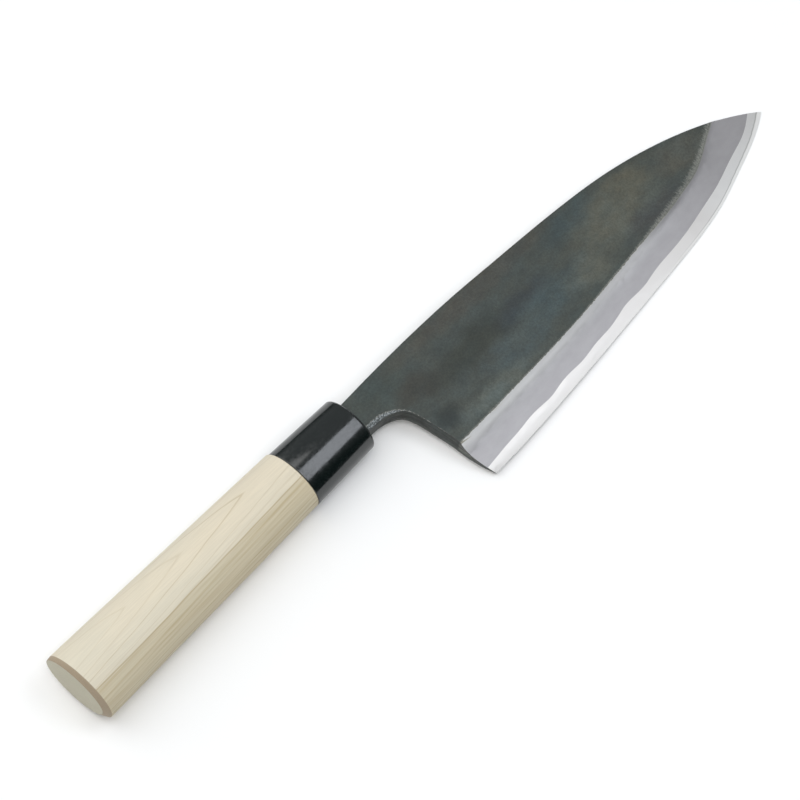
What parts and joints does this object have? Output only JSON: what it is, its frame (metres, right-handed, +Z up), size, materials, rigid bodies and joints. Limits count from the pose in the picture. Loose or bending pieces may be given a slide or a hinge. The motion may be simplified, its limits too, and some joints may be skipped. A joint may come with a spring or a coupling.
{
  "type": "deba knife",
  "caption": "Heavy single-bevel Japanese fish knife with a forge-scaled blade of two steels, an oval pale wood handle and a black ferrule.",
  "frame": {"origin": "bottom centre of the bounding box, on the surface the knife lies on", "axes": "+X along the handle toward the tip, +Y toward the spine, +Z up with the bevelled front face upward; the knife rests on the belly of its edge near the tip and on the handle beside the ferrule, its back tilted about 4 degrees"},
  "size_m": [0.3348, 0.0616, 0.0228],
  "materials": {
    "soft_iron": "forge scale on the flat, ground satin bevel",
    "hard_steel": "polished",
    "handle_wood": "bare, sanded magnolia",
    "ferrule": "gloss black"
  },
  "bodies": {
    "root": {"soft_iron_body": "soft_iron", "hard_steel_edge": "hard_steel", "handle": "handle_wood", "ferrule": "ferrule"}
  },
  "joints": []
}
